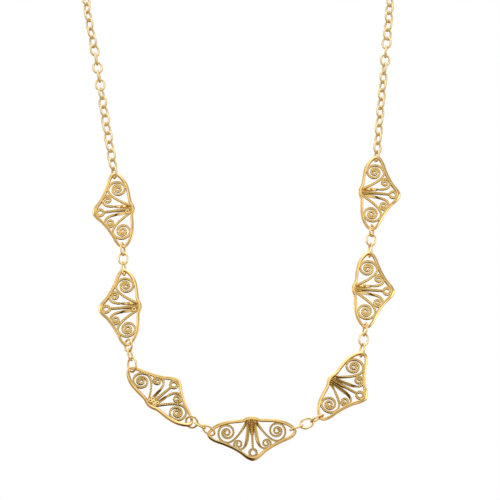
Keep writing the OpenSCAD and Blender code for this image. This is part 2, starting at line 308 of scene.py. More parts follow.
def makeGold(name, finish):
    material = bpy.data.materials.new(name)
    material.use_nodes = True
    tree = material.node_tree
    shader = tree.nodes["Principled BSDF"]
    shader.inputs["Metallic"].default_value = 1.0
    # the first attribute is the painted shade that the sweep stores on notches, channels and side walls
    paintedShade, along, around = (put(tree, "ShaderNodeAttribute", attribute_name=key).outputs["Fac"]
                             for key in ("paintedShade", "along", "around"))
    tone = put(tree, "ShaderNodeGroup", node_tree=goldTone)
    tone.inputs["Bright"].default_value = (*finish["bright"], 1)
    tone.inputs["Shade And Stain"].default_value = (*finish["deep"], 1)
    tone.inputs["Patina"].default_value = finish["patina"]
    tone.inputs["Roughness"].default_value = finish["roughness"]
    tree.links.new(paintedShade, tone.inputs["Painted Shade"])
    streak = put(tree, "ShaderNodeGroup", node_tree=polishLines)
    streak.inputs["Lines"].default_value = finish["lines"]
    tree.links.new(along, streak.inputs["Along"])
    tree.links.new(around, streak.inputs["Around"])
    tree.links.new(tone.outputs["Color"], shader.inputs["Base Color"])
    rough = reckon(tree, "ADD", tone.outputs["Roughness"], streak.outputs["Roughness"])
    tree.links.new(rough, shader.inputs["Roughness"])
    height = reckon(tree, "ADD", tone.outputs["Height"], streak.outputs["Height"])
    relief = put(tree, "ShaderNodeBump", {
        "Height": height, "Strength": goldWear["bump"], "Distance": goldWear["bumpDepth"]})
    tree.links.new(relief.outputs[0], shader.inputs["Normal"])
    return material


gold = {name: makeGold(name, finish) for name, finish in goldFinishes.items()}
print("gold finishes are made")


# Geometry Nodes trees

# What each point of a wire's path says: half its width and depth, the turn of its section, the height of
# the milled rows, how round the section is from boxy at 0 to round at 1, and the painted shade on its side
# walls
pathSizes = ("wide", "deep", "twist", "milling", "square", "shade")
# What the trees need on the way and a finished piece doesn't
helpers = pathSizes + ("side", "centre", "direction", "facing", "stretch", "size")

section = {
    # the plain circle that is swept and then takes the section's form
    "circle": 0.1,
    # the side wall ends at the first share of the height and the edge is full at the second; the two
    # milled rows are full at this share of the width
    "wallEnd": 0.2, "edgeFull": 0.6, "rowFull": 0.45,
    # what the milling has of its height at the sides, and how narrow the channel between the rows is
    "sideMilling": 0.5, "channel": 2.0,
    # how narrow the notches between the teeth are and how dark they are, as painted shade with some patina,
    # the least milling that has any, and how much of all this painted shade a wire has before any extra
    # shade
    "notch": 2.6, "notchShade": 0.75, "leastMilling": 0.02, "baseShade": 0.9,
}


def newTree(name, sockets, geometryIn=True):
    tree = bpy.data.node_groups.new(name, "GeometryNodeTree")
    if geometryIn:
        tree.interface.new_socket("Geometry", in_out="INPUT", socket_type="NodeSocketGeometry")
    for label, kind, value in sockets:
        socket = tree.interface.new_socket(label, in_out="INPUT", socket_type=kind)
        if value is not None:
            socket.default_value = value
    tree.interface.new_socket("Geometry", in_out="OUTPUT", socket_type="NodeSocketGeometry")
    return tree, tree.nodes.new("NodeGroupInput"), tree.nodes.new("NodeGroupOutput")


def named(tree, name, kind="FLOAT"):
    node = put(tree, "GeometryNodeInputNamedAttribute", {"Name": name}, data_type=kind)
    return next(s for s in node.outputs if s.name == "Attribute" and s.enabled)


def store(tree, geometry, name, value, kind="FLOAT"):
    sockets = {"Geometry": geometry, "Name": name, "Value": value}
    return put(tree, "GeometryNodeStoreNamedAttribute", sockets, data_type=kind, domain="POINT").outputs[0]


def finishTree(tree, mesh, given, result):
    mesh = put(tree, "GeometryNodeRealizeInstances", {"Geometry": mesh}).outputs[0]
    mesh = put(tree, "GeometryNodeSetMaterial", {
        "Geometry": mesh, "Material": given.outputs["Material"]}).outputs[0]
    tree.links.new(mesh, result.inputs[0])


def makeWireSweep():
    # Lays wire along paths, by the sizes on their points. Pitch and Lay are the length and slant of the
    # milled teeth, Channel sinks the line between the two rows and paints shade into it, Waist thins the
    # web between the front and back edges, and the input after Waist adds more painted shade to the
    # notches, the channel and the side walls.
    tree, given, result = newTree("wireSweep", [
        ("Step", "NodeSocketFloat", 0.1), ("Sides", "NodeSocketInt", 12), ("Pitch", "NodeSocketFloat", 0.4),
        ("Lay", "NodeSocketFloat", 1.0), ("Channel", "NodeSocketFloat", 0.0),
        ("Waist", "NodeSocketFloat", 0.0), ("Extra Shade", "NodeSocketFloat", 0.0),
        ("Material", "NodeSocketMaterial", None)])
    node, calc, times = partial(put, tree), partial(reckon, tree), partial(product, tree)
    vector, keep, own = partial(reckonVector, tree), partial(store, tree), partial(named, tree)

    # The path, with what its points know before the section is swept along it
    curve = node("GeometryNodeMeshToCurve", {"Mesh": given.outputs["Geometry"]}).outputs[0]
    curve = node("GeometryNodeResampleCurve", {
        "Curve": curve, "Length": given.outputs["Step"]}, mode="LENGTH").outputs[0]
    tangent = node("GeometryNodeInputTangent").outputs[0]
    sideways = vector("NORMALIZE", vector("CROSS_PRODUCT", (0, 0, 1), tangent))
    curve = keep(curve, "side", sideways, "FLOAT_VECTOR")
    curve = keep(curve, "centre", node("GeometryNodeInputPosition").outputs[0], "FLOAT_VECTOR")
    curve = keep(curve, "along", node("GeometryNodeSplineParameter").outputs["Length"])
    ring = node("GeometryNodeCurvePrimitiveCircle", {
        "Resolution": given.outputs["Sides"], "Radius": section["circle"]}).outputs[0]
    ring = keep(ring, "around", node("GeometryNodeSplineParameter").outputs["Factor"])
    mesh = node("GeometryNodeCurveToMesh", {
        "Curve": curve, "Profile Curve": ring, "Fill Caps": True}).outputs[0]

    # The section: c runs across it and s up it, both from -1 to 1
    turn = times(own("around"), 2 * math.pi)
    c, s = calc("COSINE", turn), calc("SINE", turn)
    awayC, awayS = calc("ABSOLUTE", c), calc("ABSOLUTE", s)
    flatC = times(calc("SIGN", c), calc("POWER", awayC, own("square")))
    flatS = times(calc("SIGN", s), calc("POWER", awayS, own("square")))
    edge = smoothRamp(tree, awayS, section["wallEnd"], section["edgeFull"])
    wall = calc("SUBTRACT", 1.0, edge)
    row = times(smoothRamp(tree, awayC, 0.0, section["rowFull"]), edge)
    wave = calc("DIVIDE", own("along"), given.outputs["Pitch"])
    slant = times(awayC, given.outputs["Lay"])
    tooth = calc("COSINE", times(calc("ADD", wave, slant), 2 * math.pi))
    milled = times(tooth, row, own("milling"))
    sideSwell = calc("MULTIPLY_ADD", milled, section["sideMilling"], 1.0)
    waisted = calc("SUBTRACT", 1.0, times(wall, given.outputs["Waist"]))
    x = times(flatC, own("wide"), sideSwell, waisted)
    middle = calc("POWER", calc("SUBTRACT", 1.0, awayC), section["channel"])
    sunk = calc("SUBTRACT", 1.0, times(middle, given.outputs["Channel"]))
    z = times(flatS, own("deep"), calc("ADD", milled, 1.0), sunk)

    # The section's place, turned by its twist
    cosTwist, sinTwist = calc("COSINE", own("twist")), calc("SINE", own("twist"))
    across = calc("SUBTRACT", times(x, cosTwist), times(z, sinTwist))
    up = calc("ADD", times(x, sinTwist), times(z, cosTwist))
    out = vector("SCALE", own("side", "FLOAT_VECTOR"), across)
    rise = node("ShaderNodeCombineXYZ", {2: up}).outputs[0]
    spot = vector("ADD", vector("ADD", own("centre", "FLOAT_VECTOR"), out), rise)
    mesh = node("GeometryNodeSetPosition", {"Geometry": mesh, "Position": spot}).outputs[0]

    # The painted shade in the notches (partly patina), in the channel and on the side walls, as the share
    # of the gold's darker colour
    notch = calc("POWER", calc("SUBTRACT", 0.5, times(tooth, 0.5)), section["notch"])
    toothed = calc("GREATER_THAN", own("milling"), section["leastMilling"])
    hollow = times(notch, row, toothed, section["notchShade"])
    channelled = times(calc("POWER", middle, section["channel"]), given.outputs["Channel"])
    shaded = times(wall, calc("ADD", own("shade"), given.outputs["Extra Shade"]))
    paintedShade = calc("MAXIMUM", calc("MAXIMUM", hollow, channelled), shaded)
    paintedShade = times(paintedShade, calc("ADD", given.outputs["Extra Shade"], section["baseShade"]))
    mesh = keep(mesh, "paintedShade", calc("MINIMUM", paintedShade, 1.0))
    mesh = node("GeometryNodeSetShadeSmooth", {"Geometry": mesh}).outputs[0]
    finishTree(tree, mesh, given, result)
    return tree


linkSockets = [
    ("Length", "NodeSocketFloat", 3.0), ("Width", "NodeSocketFloat", 2.75),
    ("Wire", "NodeSocketFloat", 0.46), ("Oval", "NodeSocketFloat", 0.75),
    ("Sides", "NodeSocketInt", 24), ("Wire Sides", "NodeSocketInt", 8)]
linkRun = 8.0  # what the way round a link counts as, for the polish lines


def makeLinkShape():
    # One closed link of round wire: x across, z along, y through its hole. Length runs between the
    # middles of the wire, Width is over all, and Oval is 1 for a full oval and 0 for straight sides.
    tree, given, result = newTree("linkShape", linkSockets, geometryIn=False)
    node, calc, times = partial(put, tree), partial(reckon, tree), partial(product, tree)
    ring = node("GeometryNodeCurvePrimitiveCircle", {
        "Resolution": given.outputs["Sides"], "Radius": 1.0}).outputs[0]
    ring = store(tree, ring, "along", times(node("GeometryNodeSplineParameter").outputs["Factor"], linkRun))
    spot = node("ShaderNodeSeparateXYZ", {0: node("GeometryNodeInputPosition").outputs[0]})
    bow = times(calc("SUBTRACT", given.outputs["Width"], given.outputs["Wire"]), 0.5)
    half = times(given.outputs["Length"], 0.5)
    spare = calc("MAXIMUM", calc("SUBTRACT", half, bow), 0.0)
    straight = times(spare, calc("SUBTRACT", 1.0, given.outputs["Oval"]))
    end = calc("SUBTRACT", half, straight)
    x = times(spot.outputs["X"], bow)
    z = calc("ADD", times(spot.outputs["Y"], end), times(calc("SIGN", spot.outputs["Y"]), straight))
    flat = node("ShaderNodeCombineXYZ", {0: x, 2: z}).outputs[0]
    ring = node("GeometryNodeSetPosition", {"Geometry": ring, "Position": flat}).outputs[0]
    wire = node("GeometryNodeCurvePrimitiveCircle", {
        "Resolution": given.outputs["Wire Sides"], "Radius": times(given.outputs["Wire"], 0.5)}).outputs[0]
    wire = store(tree, wire, "around", node("GeometryNodeSplineParameter").outputs["Factor"])
    mesh = node("GeometryNodeCurveToMesh", {"Curve": ring, "Profile Curve": wire}).outputs[0]
    mesh = node("GeometryNodeSetShadeSmooth", {"Geometry": mesh}).outputs[0]
    tree.links.new(mesh, result.inputs[0])
    return tree


def makeLinkRow(linkShape):
    # One link on each point, along the point's own direction and facing its own way
    tree, given, result = newTree("linkRow", linkSockets + [("Material", "NodeSocketMaterial", None)])
    link = put(tree, "GeometryNodeGroup", node_tree=linkShape)
    for key, kind, value in linkSockets:
        tree.links.new(given.outputs[key], link.inputs[key])
    turn = put(tree, "FunctionNodeAxesToRotation", {
        0: named(tree, "direction", "FLOAT_VECTOR"), 1: named(tree, "facing", "FLOAT_VECTOR")},
        primary_axis="Z", secondary_axis="Y").outputs[0]
    size = put(tree, "ShaderNodeCombineXYZ", {0: 1.0, 1: 1.0, 2: named(tree, "stretch")}).outputs[0]
    row = put(tree, "GeometryNodeInstanceOnPoints", {
        "Points": given.outputs["Geometry"], "Instance": link.outputs[0], "Rotation": turn,
        "Scale": size}).outputs[0]
    finishTree(tree, row, given, result)
    return tree


def makeGrainRow():
    # A round grain of gold on each point, by its own size
    tree, given, result = newTree("grains", [
        ("Segments", "NodeSocketInt", 12), ("Rings", "NodeSocketInt", 8),
        ("Material", "NodeSocketMaterial", None)])
    ball = put(tree, "GeometryNodeMeshUVSphere", {
        "Segments": given.outputs["Segments"], "Rings": given.outputs["Rings"], "Radius": 1.0}).outputs[0]
    ball = put(tree, "GeometryNodeSetShadeSmooth", {"Geometry": ball}).outputs[0]
    grains = put(tree, "GeometryNodeInstanceOnPoints", {
        "Points": given.outputs["Geometry"], "Instance": ball, "Scale": named(tree, "size")}).outputs[0]
    finishTree(tree, grains, given, result)
    return tree


wireSweep = makeWireSweep()
linkRow = makeLinkRow(makeLinkShape())
grainRow = makeGrainRow()


def runTree(tree, source, values):
    # Gives a plain mesh. The source mesh and its modifier are gone afterwards.
    holder = bpy.data.objects.new("holder", source)
    bpy.context.collection.objects.link(holder)
    modifier = holder.modifiers.new(tree.name, "NODES")
    modifier.node_group = tree
    for item in tree.interface.items_tree:
        if item.item_type == "SOCKET" and item.in_out == "INPUT" and item.name in values:
            modifier[item.identifier] = values[item.name]
    graph = bpy.context.evaluated_depsgraph_get()
    mesh = bpy.data.meshes.new_from_object(
        holder.evaluated_get(graph), preserve_all_data_layers=True, depsgraph=graph)
    bpy.data.objects.remove(holder)
    bpy.data.meshes.remove(source)
    return mesh


def pathMesh(wires):
    # A mesh of bare edges for the sweep, with each point's sizes as attributes
    points, edges = [], []
    sizes = {key: [] for key in pathSizes}
    for wire in wires:
        path = np.asarray(wire["path"], float)
        if path.shape[1] == 2:
            path = np.column_stack([path, np.full(len(path), wire.get("height", 0.0))])
        first, count = len(points), len(path)
        points.extend(path.tolist())
        edges.extend((first + i, first + i + 1) for i in range(count - 1))
        if wire.get("closed"):
            edges.append((first + count - 1, first))
        for key in pathSizes:
            sizes[key].extend(np.broadcast_to(np.asarray(wire.get(key, 0.0), float), (count,)).tolist())
    mesh = bpy.data.meshes.new("paths")
    mesh.from_pydata(points, edges, [])
    for key, values in sizes.items():
        mesh.attributes.new(key, "FLOAT", "POINT").data.foreach_set("value", values)
    return mesh


def finishPiece(name, meshes, matrix=Matrix.Identity(4)):
    piece = bpy.data.objects.new(name, meshes[0])
    others = [bpy.data.objects.new(name + "More", mesh) for mesh in meshes[1:]]
    for each in (piece, *others):
        bpy.context.collection.objects.link(each)
    if others:
        joined = [piece, *others]
        with bpy.context.temp_override(active_object=piece, object=piece, selected_objects=joined,
                                       selected_editable_objects=joined):
            bpy.ops.object.join()
    for key in helpers:
        attribute = piece.data.attributes.get(key)
        if attribute:
            piece.data.attributes.remove(attribute)
    piece.data.transform(toMetres @ matrix)
    piece.data.name = name
    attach(piece, "root")
    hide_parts(name.replace("Shown", ""))


# Plaques, each in its own frame: x along it, y up to the bump, z to the front

def smoothPath(points, steps, closed=False):
    # A curve through all the points, with this many steps from one to the next
    p = np.asarray(points, float)
    count = len(p)
    made = []
    for i in range(count if closed else count - 1):
        a, b, c, d = (p[k % count if closed else min(max(k, 0), count - 1)] for k in range(i - 1, i + 3))
        for k in range(steps):
            t = k / steps
            made.append(0.5 * (2 * b + (c - a) * t + (2 * a - 5 * b + 4 * c - d) * t * t
                               + (3 * b - a - 3 * c + d) * t ** 3))
    if not closed:
        made.append(p[-1])
    return np.array(made)


plaqueFrame = {
    "half": 11.3,  # half the plaque's length
    # of these, the value after slope adds painted shade on the frame wire's side walls
    "depth": 0.8, "step": 0.3, "sides": 20, "square": 0.42, "slope": -14, "extraShade": 0.2, "smooth": 6,
    # right half, from the bump down to the point: across, up, wire
    "outline": [
        (0, 4.2, 0.78), (1, 4.02, 0.76), (2.3, 3.56, 0.8), (4.3, 3.43, 0.8), (6.6, 3.2, 0.82),
        (8.4, 2.7, 0.84), (10, 1.8, 0.8), (11, 0.85, 0.76), (11.3, -0.05, 0.74), (10.8, -1.1, 0.76),
        (9.4, -2.02, 0.8), (7.4, -2.8, 0.83), (5.2, -3.85, 0.83), (3.2, -5.1, 0.85),
        (1.6, -6.45, 0.95), (0, -7.1, 1.1)],
}


def frameWire():
    right = plaqueFrame["outline"]
    left = [(-x, y, w) for x, y, w in right[-2:0:-1]]
    outer = smoothPath(right + left, plaqueFrame["smooth"], closed=True)
    ahead = np.roll(outer, -1, 0)[:, :2] - np.roll(outer, 1, 0)[:, :2]
    ahead /= np.linalg.norm(ahead, axis=1)[:, None]
    inward = np.column_stack([ahead[:, 1], -ahead[:, 0]])
    path = outer[:, :2] + inward * outer[:, 2:] / 2
    return {"path": path, "closed": True, "wide": outer[:, 2] / 2, "deep": plaqueFrame["depth"] / 2,
            "square": plaqueFrame["square"], "twist": math.radians(plaqueFrame["slope"])}


filigree = {
    "ribbon": 0.61, "depth": 0.76, "step": 0.07, "sides": 20, "pitch": 0.45, "lay": 0.4, "milling": 0.15,
    "square": 0.55, "channel": 0.45, "waist": 0.5,
    # steps along a stalk, degrees from point to point of a coil, and steps between its given radii
    "stalkSteps": 24, "coilStep": 6, "smooth": 6,
}
# A scroll is a stalk from the band, by three points of its curve, and a coil, by its radius after so many
# quarter turns. What differs between plaques is given for both forms of their leaves.
largeCoil = {
    "middle": (6.4, 0.3), "turns": 2.5, "stalk": [(0.95, 3.2), (2.65, 0.37), (4.5, -2.27)],
    "radii": [(0, 2.57), (1, 2.05), (2, 1.9), (3, 1.76), (4, 1.36), (5, 1.1), (6, 0.9), (7, 0.76),
              (8.5, 0.58), (10, 0.36)],
    # how far the stalk leans at the band, which share of it does, and its shade there
    "lean": {"longLeaf": 55, "shortLeaf": 12}, "leanTo": 0.4,
    "shade": {"longLeaf": 0.2, "shortLeaf": 0.0},
}
crook = {
    "middle": (3.55, -2.8), "turns": 1.5, "stalk": [(0.72, 3.2), (1.35, -1.2), (1.0, -4.25)],
    "radii": [(0, 1.25), (1, 1.08), (2, 0.94), (3, 0.78), (4, 0.58), (5, 0.42), (6, 0.33)],
    # the leaf in the stalk: up, broad face, turn from edge-on, shade
    "longLeaf": [(3.2, 0.8, 30, 0.0), (2.4, 0.82, 50, 0.0), (1.4, 0.9, 68, 0.1), (-0.2, 1.05, 76, 0.12),
                 (-1.3, 1.1, 76, 0.12), (-2.3, 1.0, 65, 0.3), (-3.2, 0.8, 30, 0.4), (-3.9, 0.76, 0, 0)],
    "shortLeaf": [(3.2, 0.8, 50, 0.0), (1.9, 0.9, 70, 0.0), (0.9, 1.0, 80, 0.0), (-0.2, 0.95, 80, 0.2),
                  (-0.9, 0.8, 50, 1.0), (-1.5, 0.76, 10, 0.6), (-2.2, 0.76, 0, 0)],
    "thinning": 0.35,  # what the leaf's thickness loses where it is turned flat
}


def scrollPath(form):
    middle = np.array(form["middle"])
    radii = smoothPath(form["radii"], filigree["smooth"])

    def coilPoint(quarters):
        turn = quarters * math.pi / 2
        radius = np.interp(quarters, radii[:, 0], radii[:, 1])
        return middle + radius * np.array([math.sin(turn), -math.cos(turn)])

    a, b, c = (np.array(q) for q in form["stalk"])
    d = coilPoint(0)
    stalk = [a * (1 - t) ** 3 + 3 * b * t * (1 - t) ** 2 + 3 * c * t * t * (1 - t) + d * t ** 3
             for t in np.arange(filigree["stalkSteps"]) / filigree["stalkSteps"]]
    angles = range(0, int(360 * form["turns"]) + 1, filigree["coilStep"])
    return np.array(stalk + [coilPoint(angle / 90) for angle in angles])


def milledWire(path, **sizes):
    usual = {"wide": filigree["ribbon"] / 2, "deep": filigree["depth"] / 2, "milling": filigree["milling"],
             "square": filigree["square"]}
    return {"path": path, **usual, **sizes}


def coilWire(side, leaf):
    # Near the band the stalk leans over and shows its side wall, which gets painted shade there. Near eases
    # from 1 there to 0.
    path = scrollPath(largeCoil)
    path[:, 0] *= side
    near = np.clip(1 - np.arange(len(path)) / filigree["stalkSteps"] / largeCoil["leanTo"], 0, 1)
    near = near * near * (3 - 2 * near)
    return milledWire(path, twist=-near * math.radians(largeCoil["lean"][leaf]) * side,
                      shade=near * largeCoil["shade"][leaf])


def crookWire(side, leaf):
    # The stalk twists to show its broad face, and turns back on edge before the coil.
    path = scrollPath(crook)
    up, broad, turn, shade = (np.array(column)[::-1] for column in zip(*crook[leaf]))
    onStalk = np.arange(len(path)) < filigree["stalkSteps"]
    face = np.where(onStalk, np.interp(path[:, 1], up, broad), filigree["depth"])
    lean = np.where(onStalk, np.interp(path[:, 1], up, turn), 0.0)
    # the shade column paints shade on the leaf's turned web and at its twist
    shaded = np.where(onStalk, np.interp(path[:, 1], up, shade), 0.0)
    path[:, 0] *= side
    thin = filigree["ribbon"] / 2 * (1 - crook["thinning"] * lean / 90)
    return milledWire(path, twist=np.radians(lean) * side, deep=face / 2, wide=thin, shade=shaded,
                      milling=filigree["milling"] * filigree["depth"] / face)


stem = {
    "top": 3.25, "upright": 0.125, "steps": 30,
    # the eyelet: its arc in degrees starts and ends at the stem, and points on it, how far above the arc
    # the stem ends, and over how many points the wire changes
    "middle": (0.1, -5.05), "radius": 0.9, "arc": (103, 437), "points": 46, "joint": 0.15, "blend": 5,
    "ring": 0.74, "ringShade": 0.2,
    # at the band, for both forms of the leaves: the shade, reached at this lean, and the share of the lean
    "topShade": {"longLeaf": 0.15, "shortLeaf": 0.0}, "fullShadeAt": 20,
    "topLean": {"longLeaf": 1.0, "shortLeaf": 0.1},
    # the doubled wire: up, half of its spread, width and depth of each wire, and its lean, which shows
    # the outer walls near the band
    "taper": [(3.25, 0.0, 0.38, 0.95, 50), (1.2, 0.02, 0.4, 0.95, 48), (0.1, 0.08, 0.42, 0.85, 25),
              (-0.8, 0.125, 0.42, 0.76, 0), (-3.2, 0.11, 0.36, 0.7, 0), (-4.3, 0.1, 0.34, 0.7, 0)],
}


def stemWire(leaf):
    # One wire, down to the eyelet, round it and up again beside itself
    cx, cy = stem["middle"]
    turn = np.radians(np.linspace(*stem["arc"], stem["points"]))
    ring = np.column_stack([cx + stem["radius"] * np.cos(turn), cy + stem["radius"] * np.sin(turn)])
    ups, spreads, widths, depths, leans = (np.array(column)[::-1] for column in zip(*stem["taper"]))
    leaning = stem["topLean"][leaf]
    leans = leans * leaning
    spreads = spreads * leaning + stem["upright"] * (1 - leaning)
    heights = np.linspace(stem["top"], ring[0][1] + stem["joint"], stem["steps"])
    drift = cx * (stem["top"] - heights) / (stem["top"] - cy)
    reach = np.interp(heights, ups, depths) / 2 * np.sin(np.radians(np.interp(heights, ups, leans)))
    spread = np.interp(heights, ups, spreads) + reach
    down = np.column_stack([drift - spread, heights])
    back = np.column_stack([drift + spread, heights])[::-1]
    path = np.vstack([down, ring, back])
    onRing = np.concatenate([np.zeros(len(down)), np.ones(len(ring)), np.zeros(len(back))])
    blend = stem["blend"]
    onRing = np.convolve(np.pad(onRing, blend // 2, mode="edge"), np.ones(blend) / blend, mode="valid")
    wide = np.interp(path[:, 1], ups, widths) / 2
    wide += onRing * (stem["ring"] / 2 - wide)
    deep = np.interp(path[:, 1], ups, depths) / 2
    lean = np.interp(path[:, 1], ups, leans)
    # painted shade on the outer walls that lean over near the band, and on the eyelet's inner wall
    topShade = np.minimum(lean / stem["fullShadeAt"], 1) * stem["topShade"][leaf]
    return milledWire(path, wide=wide, deep=deep, twist=-np.radians(lean),
                      shade=np.maximum(onRing * stem["ringShade"], topShade),
                      milling=filigree["milling"] * filigree["depth"] / 2 / deep)


# The base that the strips run over and are soldered to, under the bump
band = {"width": 2.7, "height": 0.85, "depth": 0.2, "middle": (0, 3.02), "bevel": 0.08, "bevelSteps": 3,
        "bevelShape": 0.6}


def bandBase():
    mesh = bpy.data.meshes.new("bandBase")
    build = bmesh.new()
    bmesh.ops.create_cube(build, size=1)
    bmesh.ops.scale(build, vec=(band["width"], band["height"], band["depth"]), verts=build.verts)
    bmesh.ops.translate(build, vec=(*band["middle"], 0), verts=build.verts)
    bmesh.ops.bevel(build, geom=build.edges[:], offset=band["bevel"], segments=band["bevelSteps"],
                    profile=band["bevelShape"], affect="EDGES")
    build.to_mesh(mesh)
    build.free()
    mesh.materials.append(gold["milledGold"])
    mesh.shade_smooth()
    return mesh


curls = {
    "wire": 0.38, "points": 16, "sides": 10, "step": 0.1,
    # the curled ends of the strips, behind the band: across, up, rise, radius
    "back": [(0.85, 2.9, -0.3, 0.36), (0.15, 2.45, -0.3, 0.4), (-0.75, 2.85, -0.3, 0.38),
             (0.95, 1.95, -0.3, 0.32), (-0.6, 1.95, -0.3, 0.34)],
    # one end that curls over the front of some plaques
    "front": [(0.9, 2.15, 0.3, 0.46)],
}


def curlWires(plaque):
    turn = np.linspace(0, 2 * math.pi, curls["points"], endpoint=False)
    places = curls["back"] + (curls["front"] if plaque["frontCurl"] else [])
    return [{"path": np.column_stack([across + radius * np.cos(turn), up + radius * np.sin(turn)]),
             "closed": True, "height": rise, "wide": curls["wire"] / 2, "deep": curls["wire"] / 2,
             "square": 1.0} for across, up, rise, radius in places]


grain = {
    "segments": 12, "rings": 8,
    # the small grains under the bump: their size, how many, and their row's width, height, rise and arch
    "size": 0.17, "count": 9, "width": 2.5, "up": 3.32, "rise": 0.36, "arch": 0.14,
    # the larger grain on a crook: across, up, rise, size
    "large": (1.15, 0.85, 0.3, 0.4),
}


def grainPoints(plaque):
    half = grain["width"] / 2
    places = [(x, grain["up"] + grain["arch"] * (1 - (x / half) ** 2), grain["rise"])
              for x in np.linspace(-half, half, grain["count"])]
    sizes = [grain["size"]] * grain["count"]
    if plaque["grainSide"]:
        across, up, rise, size = grain["large"]
        places.append((across * plaque["grainSide"], up, rise))
        sizes.append(size)
    mesh = bpy.data.meshes.new("grainPoints")
    mesh.from_pydata(places, [], [])
    mesh.attributes.new("size", "FLOAT", "POINT").data.foreach_set("value", sizes)
    return mesh


# How each plaque hangs: its middle, its roll in the picture, its lean back from upright and its yaw in
# degrees, and whether it is turned over. Then what differs: the side of its large grain (0 for none), the
# form of its leaves, a curled end in front, and how much painted shade is added to its grooves and walls.
plaques = [
    {"name": "plaque_1", "middle": (-31.45, -70.8, -79.46), "roll": -82.6, "lean": 26.3, "yaw": 0,
     "over": False, "grainSide": -1, "leaf": "shortLeaf", "frontCurl": True, "extraShade": 0.12},
    {"name": "plaque_2", "middle": (-28.99, -84.4, -104.91), "roll": -85.3, "lean": 29.1, "yaw": -2.3,
     "over": False, "grainSide": -1, "leaf": "shortLeaf", "frontCurl": True, "extraShade": 0.3},
    {"name": "plaque_3", "middle": (-19.67, -96, -127.28), "roll": -47.3, "lean": 32.6, "yaw": 8.4,
     "over": True, "grainSide": 0, "leaf": "shortLeaf", "frontCurl": False, "extraShade": 0.6},
    {"name": "plaque_4", "middle": (3.77, -100, -136.29), "roll": 2.2, "lean": 9.1, "yaw": 0.3,
     "over": False, "grainSide": 0, "leaf": "longLeaf", "frontCurl": False, "extraShade": 0.25},
    {"name": "plaque_5", "middle": (26.97, -94, -124.73), "roll": 57.2, "lean": 29.3, "yaw": 4.4,
     "over": False, "grainSide": 0, "leaf": "longLeaf", "frontCurl": False, "extraShade": 0.5},
    {"name": "plaque_6", "middle": (34.07, -80.2, -100.44), "roll": 84.5, "lean": 28.4, "yaw": 3.8,
     "over": False, "grainSide": 1, "leaf": "shortLeaf", "frontCurl": False, "extraShade": 0.16},
    {"name": "plaque_7", "middle": (36.43, -67, -74.84), "roll": 83.6, "lean": 26.7, "yaw": 3,
     "over": False, "grainSide": 1, "leaf": "shortLeaf", "frontCurl": False, "extraShade": 0.16},
]


def poseOf(plaque):
    return (Matrix.Translation(plaque["middle"])
            @ Matrix.Rotation(math.radians(plaque["yaw"]), 4, "Z")
            @ Matrix.Rotation(math.radians(90 - plaque["lean"]), 4, "X")
            @ Matrix.Rotation(math.radians(plaque["roll"]), 4, "Z")
            @ Matrix.Rotation(math.pi * plaque["over"], 4, "X"))


def makePlaque(plaque):
    rim = runTree(wireSweep, pathMesh([frameWire()]), {
        "Step": plaqueFrame["step"], "Sides": plaqueFrame["sides"], "Extra Shade": plaqueFrame["extraShade"],
        "Material": gold["frameGold"]})
    wires = [stemWire(plaque["leaf"])]
    for side in (1, -1):
        wires.append(coilWire(side, plaque["leaf"]))
        wires.append(crookWire(side, plaque["leaf"]))
    work = runTree(wireSweep, pathMesh(wires), {
        "Step": filigree["step"], "Sides": filigree["sides"], "Pitch": filigree["pitch"],
        "Lay": filigree["lay"], "Channel": filigree["channel"], "Waist": filigree["waist"],
        "Extra Shade": plaque["extraShade"], "Material": gold["milledGold"]})
    grains = runTree(grainRow, grainPoints(plaque), {
        "Segments": grain["segments"], "Rings": grain["rings"], "Material": gold["linkGold"]})
    ends = runTree(wireSweep, pathMesh(curlWires(plaque)), {
        "Step": curls["step"], "Sides": curls["sides"], "Material": gold["linkGold"]})
    meshes = [rim, work, bandBase(), grains, ends]
    finishPiece(plaque["name"] + "Shown", meshes, poseOf(plaque))


for plaque in plaques:
    makePlaque(plaque)
print("plaques are made")


# Links between the plaques

joiningLinks = {
    # the wire and play of the solid links, and the wire shown
    "wire": 0.46, "play": 0.12, "polished": 0.55, "sides": 32, "wireSides": 12,
    # for each gap, where its three links run: how far in and up from the first plaque's end, the same from
    # the next plaque's, the shares of the way where the links meet, and how far those two places are lifted
    "gaps": [
        (1.5, -0.1, 1.7, -0.1, 0.347, 0.633, 0), (1.8, 0.1, 1.6, -0.3, 0.326, 0.612, 0),
        (1.9, 0.1, 1.8, 0.1, 0.36, 0.644, 0.45), (1.6, 0.3, 1.4, 0.1, 0.345, 0.66, -0.15),
        (1.4, 0.1, 1.5, 0.1, 0.36, 0.659, 0), (1.4, -0.1, 1.6, -0.1, 0.389, 0.684, 0)],
    # turn and width of each of the three links
    "forms": [
        [(-66, 2.4), (0, 2.7), (-60, 2.3)], [(54, 3.25), (-55, 2.2), (48, 3.35)],
        [(36, 3.4), (-60, 2.1), (60, 2.9)], [(-78, 2.2), (-10, 3), (84, 2.6)],
        [(-66, 2.65), (10, 2.7), (-66, 2.4)], [(-72, 2.6), (0, 2.7), (60, 2.5)]],
}


def facingOf(plaque):
    face = poseOf(plaque).to_3x3() @ Vector((0, 0, -1 if plaque["over"] else 1))
    return face.normalized()


def linkAxes(a, b, facing, turn):
    # The direction from a to b, and the way that the link's hole faces when it is turned from facing
    along = (b - a).normalized()
    ahead = (facing - facing.dot(along) * along).normalized()
    beside = along.cross(ahead)
    angle = math.radians(turn)
    return along, math.cos(angle) * ahead + math.sin(angle) * beside


def pointMesh(places, directions, facings, stretches):
    mesh = bpy.data.meshes.new("points")
    mesh.from_pydata([tuple(p) for p in places], [], [])
    for key, values in (("direction", directions), ("facing", facings)):
        flat = [component for v in values for component in v]
        mesh.attributes.new(key, "FLOAT_VECTOR", "POINT").data.foreach_set("vector", flat)
    mesh.attributes.new("stretch", "FLOAT", "POINT").data.foreach_set("value", list(stretches))
    return mesh


